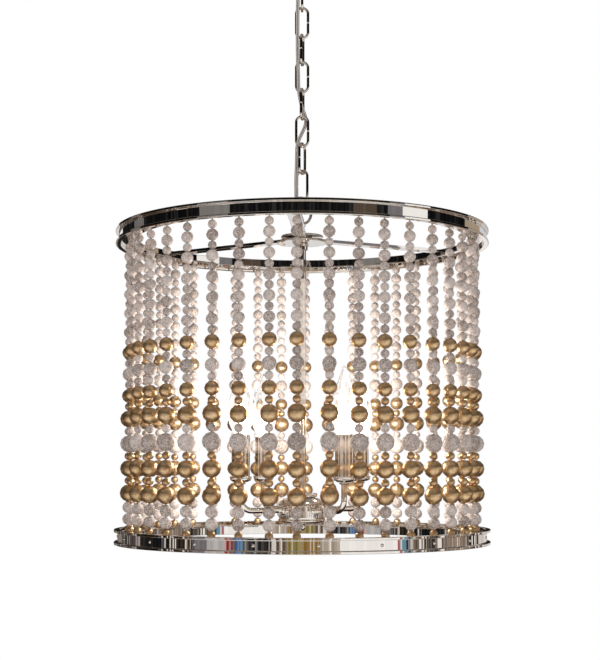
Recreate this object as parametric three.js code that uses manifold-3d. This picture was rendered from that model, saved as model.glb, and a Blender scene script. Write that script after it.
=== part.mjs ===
// A drum chandelier on a chain: forty strings of wooden beads hang between two polished
// nickel bands, round a centre column that carries four candle lights on curved arms.
// Millimetres, +Z up. The origin is on the ceiling, at the middle of the crossbar's top face.

import * as THREE from "three";
import { mergeVertices } from "three/addons/utils/BufferGeometryUtils.js";
import Module from "manifold-3d";

const wasm = await Module();
wasm.setup();

// Clearances
const seatGap = 0.3; // between two pieces that touch
const slideGap = 0.6; // round a piece that slides
const linkPlay = 0.4; // between two chain links where one hangs in the other

// Drum
const drumRadius = 254;
const bandHeight = 19.8;
const bandWall = 2;
const lipReach = 4.9; // how far the band's two outer lips stand out of its face
const lipHeight = 3.5;
const flangeWidth = 20; // the band's inward flange, which carries the bead strands
const flangeThickness = 1.5;
const flangeInset = 4.6; // from the band's edge on the beads' side to the flange
const strandInset = 12.1; // from the band's inner face to the strand circle
const strandPairs = 20;
const firstStrandAngle = -1.2; // degrees from the front, -Y, towards +X

// Beads and their wire
const smallWhite = 11;
const largeWhite = 14.8;
const midWhite = 15.3;
const wideWhite = 17.7;
const hugeWhite = 22.7;
const smallGold = 10.3;
const largeGold = 18.3;
const hugeGold = 22.7;
const beadOrder = [
  smallWhite, largeWhite, smallWhite, largeWhite, smallWhite, largeWhite, smallWhite,
  largeWhite, smallWhite, largeWhite, smallWhite,
  largeGold, smallWhite, wideWhite, smallWhite, largeGold, smallGold, hugeGold,
  smallWhite, hugeWhite, smallGold, hugeGold, smallGold, hugeGold,
  midWhite, midWhite, smallGold,
]; // from the top of a strand to its foot
const waistShare = 0.6; // of a bead's radius, between two beads of one size
const wireRadius = 1;
const wireShow = 3.3; // bare wire between the upper flange and the first bead
const wireHoleRadius = wireRadius + seatGap * Math.SQRT2;

// Hub and its three spokes
const nippleRadius = 4;
const upperDiscRadius = 29;
const lowerDiscRadius = 35;
const discThickness = 3;
const spokeWidth = 16;
const spokeThickness = 4;
const spokeStart = 11; // from the axis to a spoke's inner end
const spokeTabThickness = 3;
const firstSpokeAngle = 27; // degrees from +X
const spokeCount = 3;

// Neck loop, at the top of the fixture
const neckLoopRadius = 19.7;
const neckWireRadius = 2;
const neckHeight = 15.3; // from the upper disc to the loop
const neckCollarRadius = 7.5;
const neckCollarHeight = 3;

// Centre column
const columnRadius = 5.5;
const couplingRadius = 8;
const couplingHeight = 9;
const nippleReach = 7; // how deep the nipple goes into the coupling

// Arm body, at the column's foot
const bodyRadius = 32;
const bodyFoot = 28; // above the drum's lower edge
const bodyHeight = 39.6;
const bodyCapRadius = 20.5;
const bodyCapHeight = 6.3;
const bodyThroatRadius = 17;
const bodyShoulderHeight = 22; // from the body's foot to the top of its straight side
const columnSocketDepth = 10;

// Finial under the arm body
const finialRadius = 5;
const finialNeckRadius = 3;
const finialNeckHeight = 1.5;
const finialPinRadius = 2;
const finialPinLength = 8;

// Candle arms
const armCount = 4;
const firstArmAngle = 34; // degrees from +X
const armReach = 98; // from the axis to a candle's axis
const armRadius = 4;
const armBend = 17;
const armHeight = 17; // from the arm body's foot to the arm's axis
const armSocketDepth = 6.5;
const shoulderRadius = 6.5;
const shoulderHeight = 2.5;

// Candle cup, sleeve, lampholder and bulb
const cupFoot = 83; // above the drum's lower edge
const cupRadius = 14.6;
const cupHeight = 7.4;
const cupFloor = 2.8;
const cupWall = 1;
const cupFootRadius = 9.5;
const sleeveRadius = 12;
const sleeveWall = 1.2;
const sleeveHeight = 59;
const holderRadius = 9.5;
const holderRecess = 5; // from the sleeve's top down to the lampholder's mouth
const holderBoreDepth = 21;
const bulbBaseRadius = 6;
const bulbNeckRadius = 7.5;
const bulbRadius = 17.5;
const bulbHeight = 90.6; // from the sleeve's top to the bulb's tip
const bulbWidestShare = 0.3; // of bulbHeight, where the glass is widest
const bulbGlassShares = [
  [0.78, -0.62], [1, 0], [0.93, 0.3], [0.66, 0.62], [0.28, 0.88], [0, 1],
]; // of the glass's radius, and of its height below or above the widest place

// Chain
const linkLength = 45.6;
const linkWidth = 20;
const linkWireRadius = 1.8;
const linkTurns = [90, 0, 90, 0, 90, 0, 75, 150]; // each link's plane, degrees from +X
const neckLoopTurn = 225;

// Ceiling canopy, crossbar, screw loop and ring nut
const canopyRadius = 62;
const canopyHeight = 32;
const canopyRimHeight = 4;
const canopyWall = 1.5;
const canopyFlatRadius = 20;
const canopyCurveSteps = 3;
const crossbarLength = 100;
const crossbarWidth = 16;
const crossbarThickness = 3;
const crossbarSlotLength = 22;
const crossbarSlotWidth = 5;
const crossbarSlotInset = 6; // from the bar's end to its slot
const stemRadius = 5; // the threaded stem under the crossbar
const collarRadius = 12.5;
const collarTop = 22; // below the ceiling
const collarHeight = 20;
const stemReach = 8; // how deep the stem goes into the collar
const ringNutRadius = 17;
const ringNutHeight = 7.5;
const screwLoopRadius = 12;
const screwLoopWireRadius = 2;
const screwLoopSink = 4; // how far the loop's top is sunk into the collar

// Lamp cord
const cordRadius = 2;
const cordSocketDepth = 8;
const cordRoute = [
  [-5, -5, -36], [-5, -5, -44], [-5.2, -5, -58], [-6, -5, -92], [-6.3, -5, -130],
  [-6.1, -5, -160], [-5.4, -5, -190], [-4.8, -4.8, -208], [-2.6, -2.5, -222], [0, 0, -233],
  [4.6, 4.5, -246], [5.2, 4.6, -254], [1.6, 1.4, -265], [-1.4, -1, -272], [-5, -3.8, -281],
  [-6.8, -4.4, -290], [-7.4, -4, -313], [-8.2, -3.2, -331], [-8.2, -1.4, -347],
  [-7.9, -0.8, -361], [-6.4, 0, -372], [-2.6, 0, -383], [0, 0, -391], [0, 0, -392.7],
];

// Facets
const drumFacets = 2 * strandPairs;
const strandSides = 4;
const discFacets = 20;
const smallFacets = 12;
const wireSides = 6;
const loopFacets = 16;
const linkFacets = 14; // an odd multiple of two, so that a corner lies at a link's end and none at its side
const tubeSides = 8;
const cordSteps = 36;
const armSteps = 10;
const cutOverrun = 1; // how far a cutting tool runs past the face it opens

// Places worked out from the sizes above; in the fixture, Z is from the drum's lower edge
const webOuter = drumRadius - lipReach;
const webInner = webOuter - bandWall;
const flangeInner = webInner - flangeWidth;
const strandRadius = webInner - strandInset;
const strandStep = 360 / (2 * strandPairs);
const beadLength = beadOrder.reduce((sum, size) => sum + size, 0);
const flangeReach = flangeInset + flangeThickness;
const upperBandFoot = bandHeight - 2 * flangeInset + seatGap + beadLength + wireShow;
const flangeTop = upperBandFoot + flangeReach;
const spokeFoot = flangeTop + 2 * seatGap + 2 * wireRadius;
const spokeTop = spokeFoot + spokeThickness;
const upperDiscFoot = spokeTop + seatGap;
const upperDiscTop = upperDiscFoot + discThickness;
const lowerDiscTop = spokeFoot - seatGap;
const lowerDiscFoot = lowerDiscTop - discThickness;
const couplingTop = lowerDiscFoot - seatGap;
const neckLoopFoot = upperDiscTop + neckHeight;
const neckTop = neckLoopFoot + 2 * neckLoopRadius;
const bodyTop = bodyFoot + bodyHeight;
const armZ = bodyFoot + armHeight;
const sleeveFoot = cupFoot + cupFloor + seatGap;
const sleeveTop = sleeveFoot + sleeveHeight;
const holderTop = sleeveTop - holderRecess;
const linkPitch = linkLength - 4 * linkWireRadius - linkPlay;
const collarFoot = -collarTop - collarHeight;
const screwLoopCentre = collarFoot + screwLoopSink - screwLoopRadius;
const screwLoopSeat = screwLoopCentre - screwLoopRadius + 2 * screwLoopWireRadius;
const firstLinkTop = screwLoopSeat + linkPlay + 2 * linkWireRadius;
const lastLinkTop = firstLinkTop - (linkTurns.length - 1) * linkPitch;
const lastLinkSeat = lastLinkTop - linkLength + 2 * linkWireRadius;
const fixtureZ = lastLinkSeat + linkPlay + 2 * neckWireRadius - neckTop;

const radians = THREE.MathUtils.degToRad;

// Materials
const nickel = { color: 0xd8d4cc, roughness: 0.12, metalness: 1 };
const whitewashedWood = { color: 0xc9c1bb, roughness: 0.75, metalness: 0 };
const clearGlass = { color: 0xf4f1ea, roughness: 0.05, metalness: 0 };
const silverCord = { color: 0xa9a39b, roughness: 0.4, metalness: 0.1 };
const zincSteel = { color: 0xb9bbbd, roughness: 0.4, metalness: 1 };

// A closed geometry as a manifold-3d solid
function toSolid(geometry) {
  const bare = geometry.clone();
  bare.deleteAttribute("normal");
  bare.deleteAttribute("uv");
  const merged = mergeVertices(bare);
  return new wasm.Manifold(
    new wasm.Mesh({
      numProp: 3,
      vertProperties: merged.attributes.position.array,
      triVerts: new Uint32Array(merged.index.array),
    }),
  );
}

function toGeometry(solid) {
  const mesh = solid.getMesh();
  const geometry = new THREE.BufferGeometry();
  geometry.setAttribute("position", new THREE.BufferAttribute(mesh.vertProperties, 3));
  geometry.setIndex(new THREE.BufferAttribute(mesh.triVerts, 1));
  return geometry;
}

function joined(...geometries) {
  return toGeometry(geometries.map(toSolid).reduce((all, one) => all.add(one)));
}

function cut(geometry, ...tools) {
  return toGeometry(tools.map(toSolid).reduce((all, tool) => all.subtract(tool), toSolid(geometry)));
}

// A solid of revolution about Z from [radius, z] points, anticlockwise with the axis on the left
function turned(profile, facets) {
  const points = profile.map(([radius, z]) => new THREE.Vector2(radius, z));
  return new THREE.LatheGeometry(points, facets).rotateX(Math.PI / 2);
}

// A turned solid with a hole right through it: its profile closes on itself
function turnedRing(profile, facets) {
  return turned([...profile, profile[0]], facets);
}

// A straight round bar along Z
function rod(radius, foot, top, facets) {
  return turned([[0, foot], [radius, foot], [radius, top], [0, top]], facets);
}

// A tube's round section carried along a curve
function swept(curve, radius, sides, steps) {
  const section = new THREE.Shape();
  for (let i = 0; i < sides; i++) {
    const angle = (i * 2 * Math.PI) / sides;
    section.lineTo(radius * Math.cos(angle), radius * Math.sin(angle));
  }
  return new THREE.ExtrudeGeometry(section, { steps, extrudePath: curve, bevelEnabled: false });
}

// A round wire ring standing in the XZ plane, centred on the origin
function wireRing(outerRadius, wire, facets) {
  return new THREE.TorusGeometry(outerRadius - wire, wire, wireSides, facets)
    .rotateX(Math.PI / 2);
}

function boxAt(width, depth, foot, top) {
  return new THREE.BoxGeometry(width, depth, top - foot).translate(0, 0, (foot + top) / 2);
}

function piece(name, geometry, look) {
  const mesh = new THREE.Mesh(geometry, new THREE.MeshStandardMaterial(look));
  mesh.name = name;
  return mesh;
}

// Ceiling crossbar: a slotted flat bar with the threaded stem that carries everything below
function makeCrossbar() {
  const bar = boxAt(crossbarLength, crossbarWidth, -crossbarThickness, 0);
  const stem = rod(stemRadius, -collarTop - stemReach, -crossbarThickness / 2, smallFacets);
  const slotX = crossbarLength / 2 - crossbarSlotInset - crossbarSlotLength / 2;
  const slots = [-slotX, slotX].map((x) =>
    boxAt(crossbarSlotLength, crossbarSlotWidth, -crossbarThickness - cutOverrun, cutOverrun)
      .translate(x, 0, 0),
  );
  return piece("ceiling_crossbar", cut(joined(bar, stem), ...slots), zincSteel);
}

// Canopy: a spun shell, open to the ceiling, with a hole that passes the collar and the chain
function makeCanopy() {
  const holeRadius = collarRadius + slideGap;
  const shell = (radius, flatRadius, rimZ, flatZ) => {
    const points = [];
    for (let i = 0; i <= canopyCurveSteps; i++) {
      const angle = (i / canopyCurveSteps) * (Math.PI / 2);
      points.push([
        flatRadius + (radius - flatRadius) * Math.sin(angle),
        rimZ + (flatZ - rimZ) * Math.cos(angle),
      ]);
    }
    return points;
  };
  const outer = shell(canopyRadius, canopyFlatRadius, -canopyRimHeight, -canopyHeight);
  const inner = shell(
    canopyRadius - canopyWall,
    canopyFlatRadius,
    -canopyRimHeight,
    -canopyHeight + canopyWall,
  ).reverse();
  const profile = [
    [holeRadius, -canopyHeight],
    ...outer,
    [canopyRadius, 0],
    [canopyRadius - canopyWall, 0],
    ...inner,
    [holeRadius, -canopyHeight + canopyWall],
  ];
  return piece("ceiling_canopy", turnedRing(profile, discFacets), nickel);
}

// Ring nut: it holds the canopy up against the ceiling
function makeRingNut() {
  const bore = collarRadius + slideGap;
  const top = -canopyHeight - seatGap;
  const foot = top - ringNutHeight;
  const profile = [[bore, foot], [ringNutRadius, foot], [ringNutRadius, top], [bore, top]];
  return piece("canopy_ring_nut", turnedRing(profile, discFacets), nickel);
}

// Screw loop: a threaded collar on the crossbar's stem, with the loop for the first chain link
function makeScrewLoop() {
  const collar = rod(collarRadius, collarFoot, -collarTop, discFacets);
  const loop = wireRing(screwLoopRadius, screwLoopWireRadius, loopFacets)
    .translate(0, 0, screwLoopCentre);
  const stemSocket = rod(
    stemRadius + seatGap,
    -collarTop - stemReach - seatGap,
    -collarTop + cutOverrun,
    smallFacets,
  );
  const [cordX, cordY] = cordRoute[0];
  const cordSocket = rod(
    cordRadius + 2 * seatGap,
    collarFoot - cutOverrun,
    collarFoot + cordSocketDepth,
    tubeSides,
  ).translate(cordX, cordY, 0);
  return piece("canopy_screw_loop", cut(joined(collar, loop), stemSocket, cordSocket), nickel);
}

// Chain link: a wire ring whose two halves are drawn apart, hung by its top from the origin
function makeLink(name) {
  const geometry = new THREE.TorusGeometry(
    linkWidth / 2 - linkWireRadius,
    linkWireRadius,
    wireSides,
    linkFacets,
  ).rotateZ(Math.PI / linkFacets);
  const places = geometry.attributes.position;
  const stretch = (linkLength - linkWidth) / 2;
  for (let i = 0; i < places.count; i++) {
    const y = places.getY(i);
    places.setY(i, y + Math.sign(y) * stretch);
  }
  geometry.rotateX(Math.PI / 2).translate(0, 0, -linkLength / 2);
  return piece(name, geometry, nickel);
}

// Lamp cord: woven through the chain, from the screw loop's collar down to the neck loop
function makeCord() {
  const route = new THREE.CatmullRomCurve3(cordRoute.map((at) => new THREE.Vector3(...at)));
  return piece("lamp_cord", swept(route, cordRadius, tubeSides, cordSteps), silverCord);
}

// Neck loop: the fixture's own loop, on a nipple that passes down through both hub discs
function makeNeckLoop() {
  const loop = wireRing(neckLoopRadius, neckWireRadius, loopFacets)
    .translate(0, 0, neckLoopFoot + neckLoopRadius)
    .rotateZ(radians(neckLoopTurn));
  const nipple = rod(
    nippleRadius,
    couplingTop - nippleReach,
    neckLoopFoot + neckWireRadius,
    smallFacets,
  );
  const collarZ = upperDiscTop + seatGap;
  const collar = rod(neckCollarRadius, collarZ, collarZ + neckCollarHeight, smallFacets);
  return piece("neck_loop", joined(loop, nipple, collar), nickel);
}

// Hub disc: a round plate on the nipple, above or below the spokes
function makeHubDisc(name, radius, foot) {
  const top = foot + discThickness;
  const hole = nippleRadius + seatGap;
  const profile = [[hole, foot], [radius, foot], [radius, top], [hole, top]];
  return piece(name, turnedRing(profile, discFacets), nickel);
}

// Spoke: a flat bar clamped between the hub discs, with a turned-down tab against the band. It
// crosses over the strands' wires, and its tab stands on the upper band's flange.
function makeSpoke(name) {
  // a facet's flat lies nearer to the axis than its corners do
  const end = webInner * Math.cos(Math.PI / drumFacets) - seatGap;
  const bar = boxAt(end - spokeStart, spokeWidth, spokeFoot, spokeTop)
    .translate((end + spokeStart) / 2, 0, 0);
  const tab = boxAt(spokeTabThickness, spokeWidth, flangeTop + seatGap, spokeTop)
    .translate(end - spokeTabThickness / 2, 0, 0);
  return piece(name, joined(bar, tab), nickel);
}

// Band: a channel open to the outside, with a flange inside that is pierced for the strands.
// The upper band's flange is near its foot, and the lower band is the same piece turned over.
function makeBand(name, foot, turnedOver) {
  const profile = [
    [webInner, 0],
    [drumRadius, 0],
    [drumRadius, lipHeight],
    [webOuter, lipHeight],
    [webOuter, bandHeight - lipHeight],
    [drumRadius, bandHeight - lipHeight],
    [drumRadius, bandHeight],
    [webInner, bandHeight],
    [webInner, flangeReach],
    [flangeInner, flangeReach],
    [flangeInner, flangeInset],
    [webInner, flangeInset],
  ];
  const holes = [];
  for (let strand = 0; strand < 2 * strandPairs; strand++) {
    const angle = radians(strand * strandStep);
    holes.push(
      rod(wireHoleRadius, flangeInset - cutOverrun, flangeReach + cutOverrun, strandSides)
        .translate(0, -strandRadius, 0)
        .rotateZ(angle),
    );
  }
  // a facet's middle faces each strand
  const ring = turnedRing(profile, drumFacets).rotateZ(radians(strandStep / 2));
  const pierced = cut(ring, ...holes);
  if (turnedOver) pierced.rotateX(Math.PI).translate(0, 0, bandHeight);
  const band = piece(name, pierced, nickel);
  band.position.z = foot;
  band.rotation.z = radians(firstStrandAngle);
  return band;
}

// Bead strand: the beads' widest circles joined by cones, on a wire that runs out at both ends
function strandAt(angle) {
  const wireFoot = bandHeight - flangeReach - seatGap - wireRadius;
  const wireTop = flangeTop + seatGap + wireRadius;
  const profile = [
    [0, wireTop],
    [wireRadius, wireTop],
  ];
  let z = upperBandFoot + flangeInset - wireShow;
  profile.push([wireRadius, z]);
  beadOrder.forEach((size, i) => {
    if (size === beadOrder[i - 1]) profile.push([(waistShare * size) / 2, z]);
    profile.push([size / 2, z - size / 2]);
    z -= size;
  });
  profile.push([wireRadius, z], [wireRadius, wireFoot], [0, wireFoot]);
  return turned(profile.reverse(), strandSides).translate(0, -strandRadius, 0).rotateZ(angle);
}

// Strand pair: one wire runs down one strand and up the next, and crosses over inside each band
function makeStrandPair(name, pair) {
  const first = radians(2 * pair * strandStep);
  const half = radians(strandStep / 2);
  const span = 2 * strandRadius * Math.sin(half);
  const lie = strandRadius * Math.cos(half);
  const crossing = (foot) =>
    boxAt(span + wireRadius, 2 * wireRadius, foot, foot + 2 * wireRadius)
      .translate(0, -lie, 0)
      .rotateZ(first + half);
  const upperCrossing = flangeTop + seatGap;
  const lowerCrossing = bandHeight - flangeReach - seatGap - 2 * wireRadius;
  const strands = [strandAt(first), strandAt(first + 2 * half)];
  const mesh = piece(
    name,
    joined(...strands, crossing(upperCrossing), crossing(lowerCrossing)),
    whitewashedWood,
  );
  mesh.rotation.z = radians(firstStrandAngle);
  return mesh;
}

// Centre column: a tube, with the coupling that takes the nipple at its top
function makeColumn() {
  const foot = bodyTop - columnSocketDepth + seatGap;
  const couplingFoot = couplingTop - couplingHeight;
  const outline = [
    [0, foot],
    [columnRadius, foot],
    [columnRadius, couplingFoot],
    [couplingRadius, couplingFoot],
    [couplingRadius, couplingTop],
    [0, couplingTop],
  ];
  const socket = rod(
    nippleRadius + seatGap,
    couplingTop - nippleReach - seatGap,
    couplingTop + cutOverrun,
    smallFacets,
  );
  return piece("centre_column", cut(turned(outline, smallFacets), socket), nickel);
}

// Arm body: a bell with a socket for the column, one for each arm and one for the finial
function makeArmBody() {
  const capFoot = bodyTop - bodyCapHeight;
  const shoulder = bodyFoot + bodyShoulderHeight;
  const outline = [
    [0, bodyFoot],
    [bodyRadius, bodyFoot],
    [bodyRadius, shoulder],
    [(bodyRadius + bodyThroatRadius) / 2, (shoulder + 2 * capFoot) / 3],
    [bodyThroatRadius, capFoot],
    [bodyCapRadius, capFoot],
    [bodyCapRadius, bodyTop],
    [0, bodyTop],
  ];
  const columnSocket = rod(
    columnRadius + seatGap,
    bodyTop - columnSocketDepth,
    bodyTop + cutOverrun,
    smallFacets,
  );
  const pinSocket = rod(
    finialPinRadius + seatGap,
    bodyFoot - cutOverrun,
    bodyFoot + finialPinLength,
    tubeSides,
  );
  const armSockets = [];
  for (let arm = 0; arm < armCount; arm++) {
    armSockets.push(
      rod(armRadius + 2 * seatGap, bodyRadius - armSocketDepth, bodyRadius + cutOverrun, tubeSides)
        .rotateY(Math.PI / 2)
        .translate(0, 0, armZ)
        .rotateZ(radians(firstArmAngle + (arm * 360) / armCount)),
    );
  }
  const body = cut(turned(outline, 2 * smallFacets), columnSocket, pinSocket, ...armSockets);
  return piece("arm_body", body, nickel);
}

// Finial: a ball on a pin, which closes the arm body from below
function makeFinial() {
  const neckTopZ = bodyFoot - seatGap;
  const neckFoot = neckTopZ - finialNeckHeight;
  const ball = new THREE.SphereGeometry(finialRadius, smallFacets, smallFacets / 2)
    .rotateX(Math.PI / 2)
    .translate(0, 0, neckFoot - finialRadius + seatGap);
  const neck = rod(finialNeckRadius, neckFoot - finialRadius / 2, neckTopZ, smallFacets);
  const pin = rod(finialPinRadius, neckFoot, bodyFoot + finialPinLength - seatGap, tubeSides);
  return piece("arm_body_finial", joined(ball, neck, pin), nickel);
}

// Candle arm: a tube out of the arm body that turns up, with a shoulder under the cup and the
// lampholder on its end
function makeArm(name) {
  const start = bodyRadius - armSocketDepth + seatGap;
  const end = sleeveFoot + seatGap;
  const path = new THREE.CurvePath();
  const turnIn = new THREE.Vector3(armReach - armBend, 0, armZ);
  const corner = new THREE.Vector3(armReach, 0, armZ);
  const turnOut = new THREE.Vector3(armReach, 0, armZ + armBend);
  path.add(new THREE.LineCurve3(new THREE.Vector3(start, 0, armZ), turnIn));
  path.add(new THREE.QuadraticBezierCurve3(turnIn, corner, turnOut));
  path.add(new THREE.LineCurve3(turnOut, new THREE.Vector3(armReach, 0, end + armRadius)));
  const tube = swept(path, armRadius, tubeSides, armSteps);
  const shoulderTop = cupFoot - seatGap;
  const shoulder = rod(shoulderRadius, shoulderTop - shoulderHeight, shoulderTop, smallFacets)
    .translate(armReach, 0, 0);
  const holder = rod(holderRadius, end, holderTop, smallFacets).translate(armReach, 0, 0);
  const bore = rod(
    bulbBaseRadius + seatGap,
    holderTop - holderBoreDepth,
    holderTop + cutOverrun,
    smallFacets,
  ).translate(armReach, 0, 0);
  return piece(name, cut(joined(tube, shoulder, holder), bore), nickel);
}

// Candle cup: a shallow dish on the arm's shoulder
function makeCup(name) {
  const hole = armRadius + seatGap;
  const rim = cupFoot + cupHeight;
  const floor = cupFoot + cupFloor;
  const floorRadius = sleeveRadius + 3 * seatGap;
  const profile = [
    [hole, cupFoot],
    [cupFootRadius, cupFoot],
    [floorRadius + cupWall, floor],
    [cupRadius, rim],
    [cupRadius - cupWall, rim],
    [floorRadius, floor],
    [hole, floor],
  ];
  return piece(name, turnedRing(profile, smallFacets), nickel);
}

// Candle sleeve: a tube round the lampholder, standing in its cup
function makeSleeve(name) {
  const bore = sleeveRadius - sleeveWall;
  const profile = [
    [bore, sleeveFoot],
    [sleeveRadius, sleeveFoot],
    [sleeveRadius, sleeveTop],
    [bore, sleeveTop],
  ];
  return piece(name, turnedRing(profile, smallFacets), nickel);
}

// Bulb: a torpedo of clear glass on a screw base
function makeBulb(name) {
  const baseFoot = holderTop - holderBoreDepth + seatGap;
  const widest = sleeveTop + bulbWidestShare * bulbHeight;
  const taper = sleeveTop + bulbHeight - widest;
  const profile = [
    [0, baseFoot],
    [bulbBaseRadius, baseFoot],
    [bulbBaseRadius, holderTop + seatGap],
    [bulbNeckRadius, sleeveTop - holderRecess / 2],
  ];
  for (const [radiusShare, heightShare] of bulbGlassShares) {
    const height = heightShare < 0 ? widest - sleeveTop : taper;
    profile.push([radiusShare * bulbRadius, widest + heightShare * height]);
  }
  return piece(name, turned(profile, smallFacets), clearGlass);
}

const chandelier = new THREE.Group();
chandelier.add(makeCrossbar(), makeCanopy(), makeRingNut(), makeScrewLoop(), makeCord());

linkTurns.forEach((turn, i) => {
  const link = makeLink(`chain_link_${i + 1}`);
  link.position.z = firstLinkTop - i * linkPitch;
  link.rotation.z = radians(turn);
  chandelier.add(link);
});

const fixture = new THREE.Group();
fixture.position.z = fixtureZ;
chandelier.add(fixture);
fixture.add(
  makeNeckLoop(),
  makeHubDisc("hub_upper_disc", upperDiscRadius, upperDiscFoot),
  makeHubDisc("hub_lower_disc", lowerDiscRadius, lowerDiscFoot),
  makeBand("upper_band", upperBandFoot, false),
  makeBand("lower_band", 0, true),
  makeColumn(),
  makeArmBody(),
  makeFinial(),
);

for (let i = 0; i < spokeCount; i++) {
  const spoke = makeSpoke(`hub_spoke_${i + 1}`);
  spoke.rotation.z = radians(firstSpokeAngle + (i * 360) / spokeCount);
  fixture.add(spoke);
}

for (let i = 0; i < strandPairs; i++) {
  const number = String(i + 1).padStart(2, "0");
  fixture.add(makeStrandPair(`bead_strand_pair_${number}`, i));
}

for (let i = 0; i < armCount; i++) {
  const light = new THREE.Group();
  light.rotation.z = radians(firstArmAngle + (i * 360) / armCount);
  light.add(makeArm(`candle_arm_${i + 1}`));
  const candle = [
    makeCup(`candle_cup_${i + 1}`),
    makeSleeve(`candle_sleeve_${i + 1}`),
    makeBulb(`bulb_${i + 1}`),
  ];
  for (const mesh of candle) mesh.position.x = armReach;
  light.add(...candle);
  fixture.add(light);
}

export default chandelier;
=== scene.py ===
import math
import random

import bpy
from mathutils import Matrix, Vector


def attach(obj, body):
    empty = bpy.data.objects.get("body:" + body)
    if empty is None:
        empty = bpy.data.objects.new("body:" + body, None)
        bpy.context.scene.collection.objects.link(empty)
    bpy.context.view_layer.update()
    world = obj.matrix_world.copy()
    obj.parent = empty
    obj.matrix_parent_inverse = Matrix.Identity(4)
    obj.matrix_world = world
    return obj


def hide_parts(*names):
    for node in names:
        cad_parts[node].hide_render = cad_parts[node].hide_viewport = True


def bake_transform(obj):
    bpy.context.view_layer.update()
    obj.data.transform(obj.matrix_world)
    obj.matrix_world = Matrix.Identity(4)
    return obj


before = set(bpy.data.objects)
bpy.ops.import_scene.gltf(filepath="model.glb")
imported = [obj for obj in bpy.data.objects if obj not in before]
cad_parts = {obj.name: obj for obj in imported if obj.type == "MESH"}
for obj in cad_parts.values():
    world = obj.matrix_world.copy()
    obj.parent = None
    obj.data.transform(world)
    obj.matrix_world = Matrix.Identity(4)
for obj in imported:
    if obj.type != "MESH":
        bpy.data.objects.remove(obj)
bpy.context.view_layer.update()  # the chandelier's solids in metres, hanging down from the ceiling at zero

bpy.ops.object.select_all(action="DESELECT")


# Camera
# It stands 1.9 m in front of the light, a hand's breadth above the drum's foot, and looks up by 3
# degrees; the picture is the upper part of what it saw, hence the shift.
picture_side = 660  # pixels along the picture's long side
focal_length, upward_shift = 1365.9, 64  # pixels
sensor_side = 36  # mm along the sensor's long side
camera_sight = bpy.data.cameras.new("camera")
camera_sight.lens = sensor_side * focal_length / picture_side
camera_sight.shift_y = upward_shift / picture_side
camera = bpy.data.objects.new("camera", camera_sight)
bpy.context.scene.collection.objects.link(camera)
camera.location = (0, -1.8647, -0.7276)
camera.rotation_euler = (math.radians(93), 0, math.radians(0.09))
bpy.context.scene.camera = camera


# Lamp cord
# A flat cord of two cores, 5 by 2.5 mm, in clear silver-grey plastic over tinned copper strands.
# It is woven through the chain by hand, from the screw loop's collar down to the neck loop.
def to_linear(colour):
    """A colour from its sRGB hex code, for a shader."""
    parts = [int(colour[i : i + 2], 16) / 255 for i in (1, 3, 5)]
    return [part / 12.92 if part <= 0.04045 else ((part + 0.055) / 1.055) ** 2.4 for part in parts] + [1]


def add_node(tree, kind, inputs=(), **settings):
    """Adds a shader node, sets its options, and fills its inputs with values or links."""
    node = tree.nodes.new("ShaderNode" + kind)
    for name, value in settings.items():
        setattr(node, name, value)
    for name, value in dict(inputs).items():
        if isinstance(value, bpy.types.NodeSocket):
            tree.links.new(value, node.inputs[name])
        else:
            node.inputs[name].default_value = value
    return node


def add_ramp(tree, share, stops, interpolation="LINEAR"):
    """The colour that a ramp has at a share from 0 to 1, with a hex code at each of its stops."""
    ramp = add_node(tree, "ValToRGB", {"Fac": share})
    ramp.color_ramp.interpolation = interpolation
    for i, (at, colour) in enumerate(stops):
        # a new ramp has two stops already
        stop = ramp.color_ramp.elements[i] if i < 2 else ramp.color_ramp.elements.new(at)
        stop.position = at
        stop.color = to_linear(colour)
    return ramp.outputs["Color"]


def new_material(name):
    """An empty material and its node tree."""
    material = bpy.data.materials.new(name)
    material.use_nodes = True
    material.node_tree.nodes.clear()
    return material, material.node_tree


def show(tree, kind, inputs):
    """Gives a material its surface: one shader of a kind, with its inputs."""
    shader = add_node(tree, kind, inputs)
    add_node(tree, "OutputMaterial", {"Surface": shader.outputs[0]})


# PVC, extruded clear over a silver-grey core: smooth and a little glossy, with a painted highlight along the
# crown of each core and painted shade at its sides and in the groove between the cores
cord_plastic, tree = new_material("pvc_extruded_clear_silver")
across = add_node(tree, "Attribute", attribute_name="across").outputs["Fac"]
show(tree, "BsdfPrincipled", {
    "Base Color": add_ramp(tree, across, [(0.15, "#e4ddd6"), (0.8, "#6b5d52")]),
    "Roughness": 0.28, "IOR": 1.53, "Coat Weight": 0.4, "Coat Roughness": 0.15,
})

cord_route = [
    (-5, -5, -36), (-5, -5, -44), (-5.2, -5, -58), (-6, -5, -92), (-6.3, -5, -130),
    (-6.1, -5, -160), (-5.4, -5, -190), (-4.8, -4.8, -208), (-2.6, -2.5, -222), (0, 0, -233),
    (4.6, 4.5, -246), (5.2, 4.6, -254), (1.6, 1.4, -265), (-1.4, -1, -272), (-5, -3.8, -281),
    (-6.8, -4.4, -290), (-7.4, -4, -313), (-8.2, -3.2, -331), (-8.2, -1.4, -347),
    (-7.9, -0.8, -361), (-6.4, 0, -372), (-2.6, 0, -383), (0, 0, -391), (0, 0, -392.7),
]
link_pitch = 38  # mm from one link of the chain to the next
cord_cuts = [-78.9] + [-116.8 - link_pitch * i for i in range(7)]  # a little below each link's middle


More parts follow.
